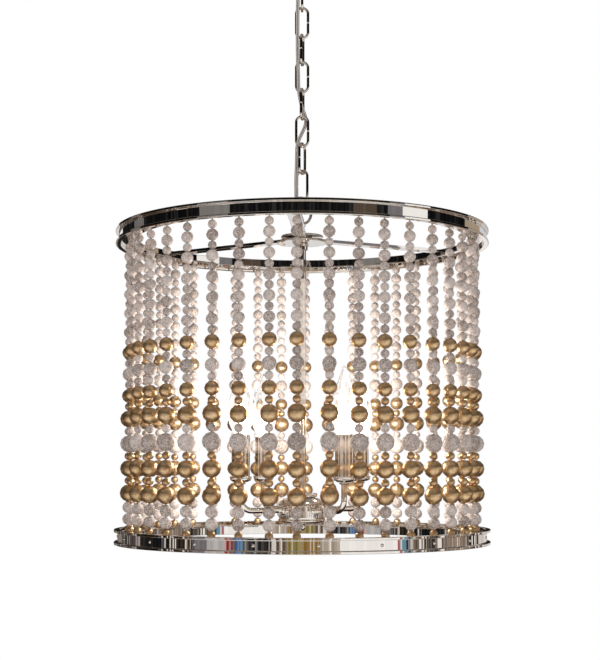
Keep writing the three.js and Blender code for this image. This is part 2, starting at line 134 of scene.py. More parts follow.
def smooth_line(route, steps=12):
    """Points in metres on the smooth curve through a route in millimetres, evenly eased."""
    stops = [Vector(stop) / 1000 for stop in route]
    stops = [2 * stops[0] - stops[1], *stops, 2 * stops[-1] - stops[-2]]
    line = []
    for before, here, there, after in zip(stops, stops[1:], stops[2:], stops[3:]):
        start = (here - before).length ** 0.5
        end = start + (there - here).length ** 0.5
        beyond = end + (after - there).length ** 0.5
        for step in range(steps):
            at = start + (end - start) * step / steps
            share = (at - start) / (end - start)
            left = before.lerp(here, at / start)
            middle = here.lerp(there, share)
            right = there.lerp(after, (at - end) / (beyond - end))
            left = left.lerp(middle, at / end)
            right = middle.lerp(right, (at - start) / (beyond - start))
            line.append(left.lerp(right, share))
    return line + [stops[-2]]


def split_line(line, heights, clearance=1e-6, shortest=2e-4):
    """Cuts a line that runs down at each height, in millimetres, into stretches that share ends.
    A cut has to be clear of the line's points; a point too near the one before it is left out."""
    stretches, current = [], [line[0]]
    cuts = [height / 1000 for height in heights]
    for last, point in zip(line, line[1:]):
        while cuts and point.z < cuts[0] < last.z - clearance:
            current.append(last.lerp(point, (last.z - cuts[0]) / (last.z - point.z)))
            stretches.append(current)
            current = [current[-1].copy()]
            cuts.pop(0)
        if (point - current[-1]).length > shortest:
            current.append(point)
    return stretches + [current]


# two cores side by side, each a round that is open where the thin web joins them
core_radius, core_facets, core_arc = 0.00125, 7, 300
cord_section = []
for side in (1, -1):
    for i in range(core_facets):
        turn = math.radians(core_arc * i / (core_facets - 1) - core_arc / 2)
        cord_section.append((side * core_radius * (1 + math.cos(turn)), side * core_radius * math.sin(turn)))


def only(piece):
    """Selects one piece alone."""
    bpy.ops.object.select_all(action="DESELECT")
    piece.select_set(True)
    bpy.context.view_layer.objects.active = piece


def join_rings(first, second, count):
    """Faces between two rings of so many corners, each given by its first corner's number."""
    sides = [(i, (i + 1) % count) for i in range(count)]
    return [(first + i, first + j, second + j, second + i) for i, j in sides]


def build(name, corners, faces, smooth):
    """A piece straight from its corners and faces, smooth where these turn by less than an angle."""
    mesh = bpy.data.meshes.new(name)
    mesh.from_pydata(corners, [], faces)
    piece = bpy.data.objects.new(name, mesh)
    bpy.context.scene.collection.objects.link(piece)
    only(piece)
    bpy.ops.object.mode_set(mode="EDIT")
    bpy.ops.mesh.select_all(action="SELECT")
    bpy.ops.mesh.normals_make_consistent(inside=False)
    bpy.ops.object.mode_set(mode="OBJECT")
    bpy.ops.object.shade_smooth_by_angle(angle=math.radians(smooth))
    return piece


cord_bodies = ["ceiling_mount"] + [f"link_{i}" for i in range(1, 9)] + ["fixture"]
cord_runs = split_line(smooth_line(cord_route), cord_cuts)
for number, (run, above, below) in enumerate(zip(cord_runs, cord_bodies, cord_bodies[1:]), 1):
    corners, shade, faces = [], [], []
    for i, point in enumerate(run):
        along = (run[min(i + 1, len(run) - 1)] - run[max(i - 1, 0)]).normalized()
        wide = (Vector((1, 0, 0)) - along * along.x).normalized()
        thin = along.cross(wide)
        for x, y in cord_section:
            corners.append(point + wide * x + thin * y)
            # 0 on each core's crown, where the painted highlight is, up to 1 at its sides and groove, where
            # the painted shade is
            shade.append(abs(abs(x) / core_radius - 1))
    count = len(cord_section)
    last_ring = (len(run) - 1) * count
    for ring in range(0, last_ring, count):
        faces += join_rings(ring, ring + count, count)
    faces.append(tuple(reversed(range(count))))
    faces.append(tuple(range(last_ring, last_ring + count)))
    cord_piece = build(f"lamp_cord_{number}", corners, faces, smooth=50)
    cord_piece.data.attributes.new("across", "FLOAT", "POINT").data.foreach_set("value", shade)
    cord_piece.data.materials.append(cord_plastic)
    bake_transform(cord_piece)
    if number == 1:
        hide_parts("lamp_cord")


# Canopy, ring nut and screw loop
# The canopy is spun from steel sheet and covers the ceiling box; the ring nut holds it up on the
# screw loop's threaded collar, and the first link hangs in the loop. All are nickel plated; the
# crossbar above them shows as it is in CAD, zinc plated.
def add_noise(tree, scale, detail=2, roughness=0.5):
    """Fine uneven tones from 0 to 1 all over a piece, so many waves to the metre."""
    place = add_node(tree, "TexCoord").outputs["Object"]
    inputs = {"Vector": place, "Scale": scale, "Detail": detail, "Roughness": roughness}
    return add_node(tree, "TexNoise", inputs).outputs["Fac"]


def map_range(tree, value, low, high, start=0, end=1, **settings):
    """Maps a value's stretch from start to end onto the one from low to high."""
    inputs = {"Value": value, "From Min": start, "From Max": end, "To Min": low, "To Max": high}
    return add_node(tree, "MapRange", inputs, **settings).outputs["Result"]


# nickel over polished steel: a warm mirror, with faint clouds of touch marks that dull it a little
nickel, tree = new_material("steel_polished_nickel_plated")
clouds = add_noise(tree, 60, detail=3, roughness=0.6)
show(tree, "BsdfPrincipled", {
    "Base Color": to_linear("#e9e4de"), "Metallic": 1.0,
    "Roughness": map_range(tree, clouds, 0.012, 0.04, start=0.35, end=0.7),
})

# thin bright zinc on pressed steel: grey, satin, with the crystal patches of plating, 3 mm across
zinc, tree = new_material("steel_zinc_plated_pressed")
place = add_node(tree, "TexCoord").outputs["Object"]
crystals = add_node(tree, "TexVoronoi", {"Vector": place, "Scale": 330}).outputs["Color"]
show(tree, "BsdfPrincipled", {
    "Base Color": add_ramp(tree, crystals, [(0, "#9fa2a5"), (1, "#c6c9cb")]),
    "Metallic": 1.0, "Roughness": 0.38,
})
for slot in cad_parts["ceiling_crossbar"].material_slots:
    slot.material = zinc


def pick(piece, test):
    """Opens a piece for editing with the corners selected whose place passes a test."""
    bpy.ops.object.mode_set(mode="EDIT")
    bpy.ops.mesh.select_mode(type="VERT")
    bpy.ops.mesh.select_all(action="DESELECT")
    bpy.ops.object.mode_set(mode="OBJECT")
    for corner in piece.data.vertices:
        corner.select = test(corner.co)
    bpy.ops.object.mode_set(mode="EDIT")


def arc(middle, radii, first, last, steps):
    """Points on a round or oval arc, between two angles that are 0 outward and 90 degrees upward."""
    points = []
    for i in range(steps + 1):
        angle = math.radians(first + (last - first) * i / steps)
        points.append((middle[0] + radii[0] * math.cos(angle), middle[1] + radii[1] * math.sin(angle)))
    return points


def turned(outline, steps, closed=True):
    """Turns an outline of (radius, height) points, in mm, round the upright axis, as on a lathe."""
    points = [Vector((radius, 0, height)) / 1000 for radius, height in outline]
    bpy.ops.mesh.primitive_plane_add(size=0.01)
    piece = bpy.context.object
    bpy.ops.object.mode_set(mode="EDIT")
    bpy.ops.mesh.select_mode(type="VERT")
    bpy.ops.mesh.merge(type="CENTER")
    bpy.ops.transform.translate(value=points[0])
    stops = points[1:] + ([points[0]] if closed else [])
    for here, there in zip(points, stops):
        bpy.ops.mesh.extrude_vertices_move(TRANSFORM_OT_translate={"value": there - here})
    bpy.ops.mesh.select_all(action="SELECT")
    bpy.ops.mesh.spin(steps=steps, angle=math.tau, center=(0, 0, 0), axis=(0, 0, 1))
    bpy.ops.mesh.select_all(action="SELECT")
    bpy.ops.mesh.remove_doubles(threshold=2e-6)
    bpy.ops.mesh.normals_make_consistent(inside=False)
    bpy.ops.object.mode_set(mode="OBJECT")
    return piece


def add_ring(radius, wire_radius, segments, facets=16):
    """An upright ring of round wire, its sizes in mm."""
    bpy.ops.mesh.primitive_torus_add(
        major_radius=radius / 1000, minor_radius=wire_radius / 1000, major_segments=segments,
        minor_segments=facets, rotation=(math.pi / 2, 0, 0),
    )
    return bpy.context.object


def round_edges(piece, width, segments=2, angle=35):
    """Rounds a piece's edges by a width in mm, where its faces turn by more than an angle."""
    only(piece)
    bevel = piece.modifiers.new("rounding", "BEVEL")
    bevel.width = width / 1000
    bevel.segments = segments
    bevel.limit_method = "ANGLE"
    bevel.angle_limit = math.radians(angle)
    bpy.ops.object.modifier_apply(modifier=bevel.name)


def finish(piece, name, material, body, stands_for=(), slot="polished_nickel", smooth=40,
           height=0, spin=0, out=0):
    """Puts a made piece in its place, out from the axis, round it and up, all in mm and degrees;
    gives it its name and finish, and fixes it to the body that it moves with."""
    only(piece)
    bpy.ops.object.convert(target="MESH")
    piece.matrix_world = (
        Matrix.Rotation(math.radians(spin), 4, "Z")
        @ Matrix.Translation((out / 1000, 0, height / 1000))
        @ piece.matrix_world
    )
    bpy.ops.object.transform_apply(location=True, rotation=True, scale=True)
    bpy.ops.object.shade_smooth_by_angle(angle=math.radians(smooth))
    # broad faces keep their own direction beside rounded edges, so that they mirror as flat ones do
    weighted = piece.modifiers.new("broad_faces", "WEIGHTED_NORMAL")
    weighted.keep_sharp = True
    bpy.ops.object.modifier_apply(modifier=weighted.name)
    piece.name = piece.data.name = name
    piece.data.materials.clear()
    piece.data.materials.append(material)
    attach(piece, body)
    if stands_for:
        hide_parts(*stands_for)
    piece.select_set(False)


canopy = turned(
    [(13.1, -32), (13.9, -32.4)] + arc((20, -4), (42, 28), -90, 0, 12)
    + [(62, -0.8), (61.2, 0), (60.5, 0)] + arc((20, -4), (40.5, 26.5), 0, -90, 12)
    + [(13.1, -30.5)],
    steps=96,
)
finish(canopy, "canopy_spun_cover", nickel, "canopy", ["ceiling_canopy"], smooth=50)

# the nut's rim has upright flutes for the fingers, each over two fifths of its share of the rim
ring_nut = turned([
    (13.1, -39.6), (13.4, -39.8), (16.4, -39.8), (17, -39.2), (17, -32.9), (16.4, -32.3),
    (13.4, -32.3), (13.1, -32.5),
], steps=96)
flute, flute_share = math.tau / 32, 0.4
flute_floor = 0.97  # how far out a flute's floor is, as a share of the rim's radius
rim = 0.0168  # the corners farther out than this, in metres, are the rim's
pick(ring_nut, lambda at: at.xy.length > rim and math.atan2(at.y, at.x) % flute < flute * flute_share)
bpy.ops.transform.resize(value=(flute_floor, flute_floor, 1), center_override=(0, 0, 0))
bpy.ops.object.mode_set(mode="OBJECT")
finish(ring_nut, "canopy_ring_nut_fluted", nickel, "ring_nut", ["canopy_ring_nut"], smooth=30)

thread_pitch = 1.5  # mm from crest to crest of the collar's thread
collar_outline = [(5.3, -22), (11.6, -22)]
for i in range(12):
    collar_outline += [(12.5, -22.9 - thread_pitch * i), (11.8, -23.65 - thread_pitch * i)]
collar_outline += [(12.5, -41), (11.7, -42), (0, -42), (0, -30.3), (5.3, -30.3)]
collar = turned(collar_outline, steps=64)
finish(collar, "screw_loop_collar", nickel, "ceiling_mount", ["canopy_screw_loop"], smooth=30)
screw_loop_middle = -50
screw_loop = add_ring(10, 2, segments=64)
finish(screw_loop, "screw_loop_eye", nickel, "ceiling_mount", height=screw_loop_middle)


# Chain
# Eight links of 3.6 mm steel wire, bent into ovals of 46 by 20 mm and nickel plated. Each is butted
# but not welded, so a fine groove shows in the middle of one long side.
link_turns = [90, 0, 79, 0, 79, 0, 62, 150]
link_bend, chain_wire, half_side = 8.2, 1.8, 12.8  # mm: the ends' radius, the wire's, half a side
first_link_middle = -76.8  # mm below the ceiling
half_groove = 1.1  # mm from the groove's middle to its edge
left_in_groove = 0.62  # the wire's thickness there, as a share of the whole
hair = 1e-5  # metres: places that are closer than this count as one
for number, turn in enumerate(link_turns, 1):
    link = add_ring(link_bend, chain_wire, segments=48, facets=18)
    bpy.ops.object.transform_apply(rotation=True)
    for half in (1, -1):
        pick(link, lambda at: at.z * half > hair)
        bpy.ops.transform.translate(value=(0, 0, half * half_side / 1000))
        bpy.ops.object.mode_set(mode="OBJECT")
    side = 1 if number % 2 == 0 else -1
    pick(link, lambda at: at.x * side > 0 and abs(at.z) < hair)
    bpy.ops.mesh.bevel(offset=half_groove / 1000, segments=3, affect="EDGES")
    bpy.ops.object.mode_set(mode="OBJECT")
    pick(link, lambda at: at.x * side > 0 and abs(at.z) < half_groove / 2000)
    bpy.ops.transform.resize(
        value=(left_in_groove, left_in_groove, 1), center_override=(side * link_bend / 1000, 0, 0),
    )
    bpy.ops.object.mode_set(mode="OBJECT")
    finish(link, f"chain_link_{number}_wire", nickel, f"link_{number}", [f"chain_link_{number}"],
           smooth=50, height=first_link_middle - link_pitch * (number - 1), spin=turn)


# Neck loop, hub discs and spokes
# The fixture's own loop screws onto a nipple that clamps three flat spokes between two discs and
# carries the whole drum. Each spoke's end is turned down and fastened inside the upper band.
foot = -832.4  # the drum's lower edge; the heights in the fixture are mm above it
neck_loop_middle, neck_loop_turn = 455.1, 225
neck_loop = add_ring(17.7, 2, segments=72)
finish(neck_loop, "neck_loop_eye", nickel, "fixture", height=foot + neck_loop_middle, spin=neck_loop_turn)
neck = turned([
    (0, 402.1), (4, 402.1), (4, 420.4), (6.9, 420.4), (7.5, 421), (7.5, 422.8), (6.9, 423.4),
    (4.6, 423.6), (3.9, 424.8), (3.9, 432), (4.8, 433.2), (4.8, 436.2), (3.6, 437.4), (0, 437.4),
], steps=48, closed=False)
finish(neck, "neck_nipple", nickel, "fixture", ["neck_loop"], height=foot)
disc_hole, disc_height, disc_slope = 4.3, 3, 0.9
for name, radius, low in (("upper", 29, 417.1), ("lower", 35, 409.5)):
    top, flat = low + disc_height, radius - disc_slope
    disc = turned([
        (disc_hole, low), (flat, low), (radius, low + disc_slope), (radius, top - disc_slope),
        (flat, top), (disc_hole, top),
    ], steps=96)
    round_edges(disc, 0.35)
    finish(disc, f"hub_disc_{name}", nickel, "fixture", [f"hub_{name}_disc"], height=foot)

# the flat spokes lie at one height, and the tab at each one's end hangs below it
spoke_start, spoke_end, spoke_width, spoke_thickness, spoke_level = 11, 246.2, 16, 4, 414.8
tab_start, tab_drop = 243.2, 2.3
first_spoke, spoke_step = 27, 120  # degrees from +X, and from one to the next
for number in (1, 2, 3):
    bpy.ops.mesh.primitive_cube_add(
        size=1, location=((spoke_start + spoke_end) / 2000, 0, spoke_level / 1000),
        scale=((spoke_end - spoke_start) / 1000, spoke_width / 1000, spoke_thickness / 1000),
    )
    spoke = bpy.context.object
    bpy.ops.object.transform_apply(location=True, rotation=True, scale=True)
    bpy.ops.object.mode_set(mode="EDIT")
    bpy.ops.mesh.select_all(action="SELECT")
    bpy.ops.mesh.bisect(plane_co=(tab_start / 1000, 0, 0), plane_no=(1, 0, 0))
    bpy.ops.object.mode_set(mode="OBJECT")
    pick(spoke, lambda at: at.x > tab_start / 1000 - hair and at.z < spoke_level / 1000)
    bpy.ops.mesh.select_mode(type="FACE")
    bpy.ops.mesh.extrude_region_move(TRANSFORM_OT_translate={"value": (0, 0, -tab_drop / 1000)})
    bpy.ops.object.mode_set(mode="OBJECT")
    round_edges(spoke, 0.2)
    finish(spoke, f"spoke_{number}", nickel, "fixture", [f"hub_spoke_{number}"], height=foot,
           spin=first_spoke + spoke_step * (number - 1))


# Upper and lower band
# Each is rolled from one nickel-plated steel profile, 20 mm high: a mirror-bright web between two
# rounded lips, with a flange inside that carries the strands. The lower one is turned over.
band_height, upper_band_foot, lower_band_foot = 19.8, 404.1, 0
band_outline = [
    (247.1, 0), (254, 0), (254, 3.5), (249.1, 3.5), (249.1, 16.3), (254, 16.3), (254, band_height),
    (247.1, band_height), (247.1, 6.1), (227.1, 6.1), (227.1, 4.6), (247.1, 4.6),
]
band_turned_over = [(radius, band_height - height) for radius, height in reversed(band_outline)]
for name, outline, low in (
    ("upper_band", band_outline, upper_band_foot), ("lower_band", band_turned_over, lower_band_foot),
):
    band = turned(outline, steps=240)
    round_edges(band, 0.6, segments=3)
    finish(band, f"{name}_rolled", nickel, "fixture", [name], height=foot + low)

# small button-headed screws, one for each pair of strands, hold the lower band's lining
pair_count = 20
pair_step = 360 / pair_count
screw_seat = 248.9  # mm from the axis: just inside the web's outer face
screw_heads = []
for i in range(pair_count):
    screw = turned([(0, 1.5), (0.9, 1.4), (1.7, 1.0), (2.2, 0.35), (2.3, 0)], steps=16, closed=False)
    screw.rotation_euler = (0, math.pi / 2, 0)
    screw.location = (screw_seat / 1000, 0, band_height / 2000)
    only(screw)
    bpy.ops.object.transform_apply(location=True, rotation=True, scale=True)
    screw.rotation_euler.z = math.radians(-90 + pair_step / 4 + pair_step * i)
    screw_heads.append(screw)
for screw in screw_heads:
    screw.select_set(True)
bpy.context.view_layer.objects.active = screw_heads[0]
bpy.ops.object.join()
finish(bpy.context.object, "lower_band_screws", nickel, "fixture", height=foot)


# Bead strands
# Forty strands of 27 turned wooden beads, two strands to a wire that crosses over inside both
# bands. Most beads are washed white so that the grain shows; the others are painted gold.
def add_relief(tree, height, distance, strength):
    """Lets a surface stand up a little, by a distance in metres, where a tone is high."""
    inputs = {"Height": height, "Distance": distance, "Strength": strength}
    return add_node(tree, "Bump", inputs).outputs["Normal"]


# thinned white paint, wiped off before it dries: matt, pale on the crests, grey-brown in the pores
washed_wood, tree = new_material("beech_turned_whitewashed")
bead_tone = add_node(tree, "Attribute", attribute_name="bead_tone").outputs["Fac"]
pores = add_noise(tree, 620, detail=4, roughness=0.75)
patches = add_noise(tree, 190, detail=3)
wiped = add_node(tree, "Mix", {"Factor": 0.18, "A": pores, "B": patches}).outputs["Result"]
wiped_more = map_range(tree, bead_tone, -0.065, 0.05)
wash = add_node(tree, "Math", {0: wiped, 1: wiped_more}, operation="ADD").outputs[0]
show(tree, "BsdfPrincipled", {
    "Base Color": add_ramp(tree, wash, [(0.39, "#7d7066"), (0.48, "#b8aaa1"), (0.59, "#dacec6")]),
    "Roughness": 0.72, "IOR": 1.5, "Normal": add_relief(tree, pores, 0.0004, 0.5),
})

# bronze-gold metallic lacquer: satin, with fine flakes, a little darker where it is thin
gold_paint, tree = new_material("beech_turned_gold_lacquered")
bead_tone = add_node(tree, "Attribute", attribute_name="bead_tone").outputs["Fac"]
flakes = add_noise(tree, 900)
cover = add_noise(tree, 140, detail=3)
blend = add_node(tree, "Mix", {"Factor": 0.5, "A": flakes, "B": cover}).outputs["Result"]
show(tree, "BsdfPrincipled", {
    "Base Color": add_ramp(tree, blend, [(0.36, "#b9966a"), (0.62, "#ebcea6")]), "Metallic": 0.9,
    "Roughness": map_range(tree, bead_tone, 0.28, 0.34), "Specular Tint": to_linear("#6b4a28"),
    "Normal": add_relief(tree, flakes, 0.0001, 0.35),
})

# drawn stainless wire, 2 mm thick: bright, with fine marks that dull it
steel_wire, tree = new_material("stainless_wire_drawn")
show(tree, "BsdfPrincipled", {
    "Base Color": to_linear("#cfcbc4"), "Metallic": 1.0,
    "Roughness": map_range(tree, add_noise(tree, 1500), 0.15, 0.35),
})

# the beads of one strand from the top: each one's size in mm and its finish, which has the number
# of its place among the strands' materials
washed, gold, wire = range(3)
beads = [(11, washed), (14.8, washed)] * 5 + [
    (11, washed), (18.3, gold), (11, washed), (17.7, washed), (11, washed), (18.3, gold), (10.3, gold),
    (22.7, gold), (11, washed), (22.7, washed), (10.3, gold), (22.7, gold), (10.3, gold), (22.7, gold),
    (15.3, washed), (15.3, washed), (10.3, gold),
]
strand_radius, strand_top, strand_foot = 235, 405.4, 15.5
strand_step = pair_step / 2
first_strand = -91.2  # degrees from +X: the front, a little to the left
# the strands in front hang up to 2 mm to one side of their even places: in degrees, by strand
uneven = {0: -0.36, 1: 0.2, 2: 0.15, 3: -0.5, 4: -0.44, 37: 0.35, 38: 0.2, 39: 0.5}
scatter, tilt = 0.025, 5  # of a bead's size, as a share, and of the way it stands, in degrees
wire_top, wire_foot, wire_radius, wire_facets = 411.5, 12.4, 0.001, 8

# one bead, 2 mm across with its axis upright, turned with few faces since there are 1080 of them
model_bead = turned(arc((0, 0), (1, 1), -90, 90, 6), steps=12, closed=False)
bead_corners = [corner.co.copy() for corner in model_bead.data.vertices]
bead_faces = [tuple(face.vertices) for face in model_bead.data.polygons]
half_as_wide = 0.515  # of a bead's size, which is its height: beads are a little wider than tall

chance = random.Random(7)
for pair in range(pair_count):
    corners, faces, finishes, tones = [], [], [], []
    ends = []
    for strand in (2 * pair, 2 * pair + 1):
        turn = math.radians(first_strand + strand_step * strand + uneven.get(strand, 0))
        axis = Vector((math.cos(turn), math.sin(turn), 0)) * strand_radius / 1000
        ends.append(axis)
        sizes = [size * chance.uniform(1 - scatter, 1 + scatter) for size, _ in beads]
        share = (strand_top - strand_foot) / sum(sizes)
        top = strand_top
        for size, (_, paint) in zip(sizes, beads):
            tall = size * share
            shape = (
                Matrix.Translation(axis + Vector((0, 0, (foot + top - tall / 2) / 1000)))
                @ Matrix.Rotation(math.radians(chance.uniform(-tilt, tilt)), 4, "X")
                @ Matrix.Rotation(math.radians(chance.uniform(-tilt, tilt)), 4, "Y")
                @ Matrix.Rotation(chance.uniform(0, math.tau), 4, "Z")
                @ Matrix.Diagonal((size * half_as_wide, size * half_as_wide, tall / 2, 1))
            )
            start = len(corners)
            corners += [shape @ corner for corner in bead_corners]
            faces += [tuple(start + i for i in face) for face in bead_faces]
            finishes += [paint] * len(bead_faces)
            tones += [chance.random()] * len(bead_corners)
            top -= tall
    # the wire: down through one strand, across under the flange, up through the next and across
    route = [(ends[0], wire_top), (ends[0], wire_foot), (ends[1], wire_foot), (ends[1], wire_top)]
    route = [at + Vector((0, 0, (foot + height) / 1000)) for at, height in route]
    out_way = ((ends[0] + ends[1]) / 2).normalized()
    start = len(corners)
    for i, at in enumerate(route):
        slant = (route[(i + 1) % 4] - at).normalized() - (at - route[i - 1]).normalized()
        slant = slant.normalized() * math.sqrt(2)
        for j in range(wire_facets):
            turn = math.tau * j / wire_facets
            corners.append(at + (slant * math.cos(turn) + out_way * math.sin(turn)) * wire_radius)
            tones.append(0.5)
    for i in range(4):
        faces += join_rings(start + i * wire_facets, start + (i + 1) % 4 * wire_facets, wire_facets)
        finishes += [wire] * wire_facets
    strands = build(f"bead_strands_{pair + 1:02d}", corners, faces, smooth=60)
    strands.data.attributes.new("bead_tone", "FLOAT", "POINT").data.foreach_set("value", tones)
    for material in (washed_wood, gold_paint, steel_wire):
        strands.data.materials.append(material)
    strands.data.polygons.foreach_set("material_index", finishes)
    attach(strands, "fixture")
    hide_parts(f"bead_strand_pair_{pair + 1:02d}")
bpy.data.objects.remove(model_bead)


# Centre column, arm body and finial
# A plain nickel-plated tube hangs from the hub by its coupling and carries the bell-shaped arm
# body, turned from steel; a small ball closes the bell from below.
column = turned([
    (0, 57.9), (5.5, 57.9), (5.5, 400.2), (7.4, 400.2), (8, 400.8), (8, 408.6), (7.4, 409.2),
    (4.3, 409.2), (4.3, 402), (0, 402),
], steps=48, closed=False)
finish(column, "column_tube", nickel, "fixture", ["centre_column"], height=foot)
bell_foot = [
    (0, 28), (29.5, 28), (31.2, 28.5), (32, 29.8), (32, 31.2), (31.3, 32.2), (31.3, 33.2),
    (31.9, 34), (32, 35),
]
bell_top = [
    (18.4, 61.6), (20.1, 62), (20.5, 62.7), (20.5, 66.6), (19.6, 67.6), (9, 67.6), (7.6, 68.4),
    (5.6, 68.4), (0, 68.4),
]
bell = turned(bell_foot + arc((17, 49), (15, 12.3), 0, 90, 8) + bell_top, steps=96, closed=False)
finish(bell, "arm_body_bell", nickel, "fixture", ["arm_body"], height=foot, smooth=50)
ball = arc((0, 21.5), (5, 5), 50, -90, 10)
finial = turned([(0, 29), (2, 29), (3, 27.7), (3, 26.2)] + ball, steps=40, closed=False)
finish(finial, "finial_ball", nickel, "fixture", ["arm_body_finial"], height=foot)


# Candle arms, cups, sleeves and lampholders
# Four tubes of 8 mm, bent up at the end, each with a washer, a pressed cup and a candle sleeve in
# nickel-plated steel round a lampholder of dark moulded phenolic.

# moulded thermoset: near black, a little glossy, with a faint orange-peel skin
phenolic, tree = new_material("phenolic_moulded_dark")
show(tree, "BsdfPrincipled", {
    "Base Color": to_linear("#2b2724"), "Roughness": 0.35, "IOR": 1.6,
    "Normal": add_relief(tree, add_noise(tree, 900), 0.0001, 0.3),
})

arm_turns = [34, 124, 214, 304]
arm_reach, arm_level, arm_bend = 98, 45, 17  # mm: out from the axis, above the foot, the bend's radius
collar_seat = 31.8  # mm from the axis: at the bell's side, where the tube comes out of it
# the tube's middle line, and the handles before and after each of its points
arm_route = [
    (25.8, arm_level), (arm_reach - arm_bend, arm_level), (arm_reach, arm_level + arm_bend),
    (arm_reach, 86.4),
]
arm_handles = [
    ((20, arm_level), (40, arm_level)), ((70, arm_level), (90.4, arm_level)),
    ((arm_reach, 52.6), (arm_reach, 70)), ((arm_reach, 80), (arm_reach, 92)),
]
arm_collar_outline = [(4, 0), (6.2, 0), (6.8, 0.7), (6.8, 2.2), (6, 3), (4, 3)]
washer_outline = [(4, 80.2), (5.9, 80.2), (6.5, 80.8), (6.5, 82.3), (6.1, 82.7), (4, 82.7)]
cup_outline = [
    (4.3, 83), (8.8, 83), (9.6, 83.4), (13.2, 85), (14, 86.1), (14.6, 89.8), (14.3, 90.4), (13.8, 90.4),
    (13.4, 89.8), (12.7, 86.4), (12.2, 85.8), (4.3, 85.8),
]
sleeve_outline = [(10.8, 86.1), (12, 86.1), (12, 144.4), (11.7, 145.1), (11.1, 145.1), (10.8, 144.7)]
holder_outline = [
    (0, 86.4), (9.5, 86.4), (9.5, 139.3), (8.8, 140.1), (7, 140.1), (6.3, 139.3), (6.3, 119.1),
    (0, 119.1),
]
for number, turn in enumerate(arm_turns, 1):
    bpy.ops.curve.primitive_bezier_curve_add()
    arm = bpy.context.object
    arm.data.bevel_depth = 0.004
    arm.data.bevel_resolution = 5
    arm.data.resolution_u = 14
    arm.data.use_fill_caps = True
    spline = arm.data.splines[0]
    spline.bezier_points.add(2)
    for point, (x, z), (left, right) in zip(spline.bezier_points, arm_route, arm_handles):
        point.handle_left_type = point.handle_right_type = "FREE"
        point.co = (x / 1000, 0, z / 1000)
        point.handle_left = (left[0] / 1000, 0, left[1] / 1000)
        point.handle_right = (right[0] / 1000, 0, right[1] / 1000)
    finish(arm, f"arm_{number}_tube", nickel, "fixture", [f"candle_arm_{number}"], height=foot, spin=turn)
    collar = turned(arm_collar_outline, steps=32)
    collar.rotation_euler = (0, math.pi / 2, 0)
    collar.location = (collar_seat / 1000, 0, arm_level / 1000)
    finish(collar, f"arm_{number}_collar", nickel, "fixture", height=foot, spin=turn)
    at_tip = {"height": foot, "spin": turn, "out": arm_reach}
    washer = turned(washer_outline, steps=32)
    finish(washer, f"arm_{number}_washer", nickel, "fixture", **at_tip)
    cup = turned(cup_outline, steps=56)
    finish(cup, f"candle_{number}_cup", nickel, "fixture", [f"candle_cup_{number}"], **at_tip)
    sleeve = turned(sleeve_outline, steps=56)
    finish(sleeve, f"candle_{number}_sleeve", nickel, "fixture", [f"candle_sleeve_{number}"], **at_tip)
    holder = turned(holder_outline, steps=40, closed=False)
    finish(holder, f"candle_{number}_lampholder", phenolic, "fixture", **at_tip)


# Bulbs
# Clear torpedo lamps of blown glass, 35 mm across, on a small brass screw cap. A coiled tungsten
# filament glows above a glass stem.
def mix_colours(tree, share, none, full):
    """A colour between two: all of the first at a share of 0, all of the second at 1."""
    return add_node(tree, "Mix", {0: share, 6: none, 7: full}, data_type="RGBA").outputs[2]


# thin clear glass, clear above, with a painted glow below and round the filament, where the glass itself
# gives off a little warm light
glass, tree = new_material("soda_glass_blown_clear")
place = add_node(tree, "TexCoord").outputs["Object"]
height = add_node(tree, "SeparateXYZ", {0: place}).outputs["Z"]
clear_from, bright_below = (foot + 200) / 1000, (foot + 169) / 1000
# the painted glow: full below 169 mm above the foot, fading out by 200 mm
near = map_range(tree, height, 0, 1, clear_from, bright_below, interpolation_type="SMOOTHSTEP")
show(tree, "BsdfPrincipled", {
    "Base Color": to_linear("#ffffff"), "Roughness": 0.0, "IOR": 1.45, "Transmission Weight": 1.0,
    "Emission Color": mix_colours(tree, near, to_linear("#000000"), to_linear("#fff3e2")),
    "Emission Strength": 0.3,
})

# rolled brass: warm, bright on the thread's crests and duller with handling
brass, tree = new_material("brass_rolled_thread")
show(tree, "BsdfPrincipled", {
    "Base Color": to_linear("#d9b873"), "Metallic": 1.0,
    "Roughness": map_range(tree, add_noise(tree, 300, detail=3), 0.15, 0.45),
})

# white-hot tungsten: it gives light and shows no surface of its own
filament_glow, tree = new_material("tungsten_coiled_lit")
show(tree, "Emission", {"Color": to_linear("#fff0d8"), "Strength": 60.0})

glass_outline = [
    (6.2, 140.6), (7.4, 143.3), (9.0, 146.7), (12.2, 153.2), (15.0, 159.7), (16.9, 166.2), (17.5, 172.3),
    (17.2, 179.7), (16.2, 187.7), (14.5, 195.7), (12.4, 203.3), (10.0, 210.3), (7.6, 216.9), (5.4, 222.9),
    (3.6, 228.5), (2.0, 232.7), (1.1, 234.7), (0, 235.7),
]
inner_outline = [
    (0, 233.7), (1.4, 231.9), (2.9, 227.9), (4.7, 222.4), (6.9, 216.5), (9.3, 209.9), (11.7, 203),
    (13.8, 195.4), (15.5, 187.5), (16.5, 179.6), (16.8, 172.3), (16.2, 166.4), (14.3, 160), (11.5, 153.6),
    (8.3, 147.1), (6.7, 143.7), (5.5, 141.1),
]
cap_outline = [(0, 119.4), (2.2, 119.4), (3.2, 120.6)]
for i in range(6):
    cap_outline += [(5.2, 121.6 + 3 * i), (6.0, 122.8 + 3 * i), (5.2, 124 + 3 * i)]
cap_outline += [(5.4, 141.1), (0, 141.1)]
stem_outline = [(0, 141.1), (3.6, 141.1), (2.2, 149.7), (1.3, 159.7), (1.5, 161.7), (0, 162.7)]
coil_turns, coil_facets = 9, 10
coil_radius, coil_foot, coil_height = 1.4, 161.7, 26
coil_points = coil_turns * coil_facets
glow_level = 174  # mm above the foot: where each bulb's light comes from
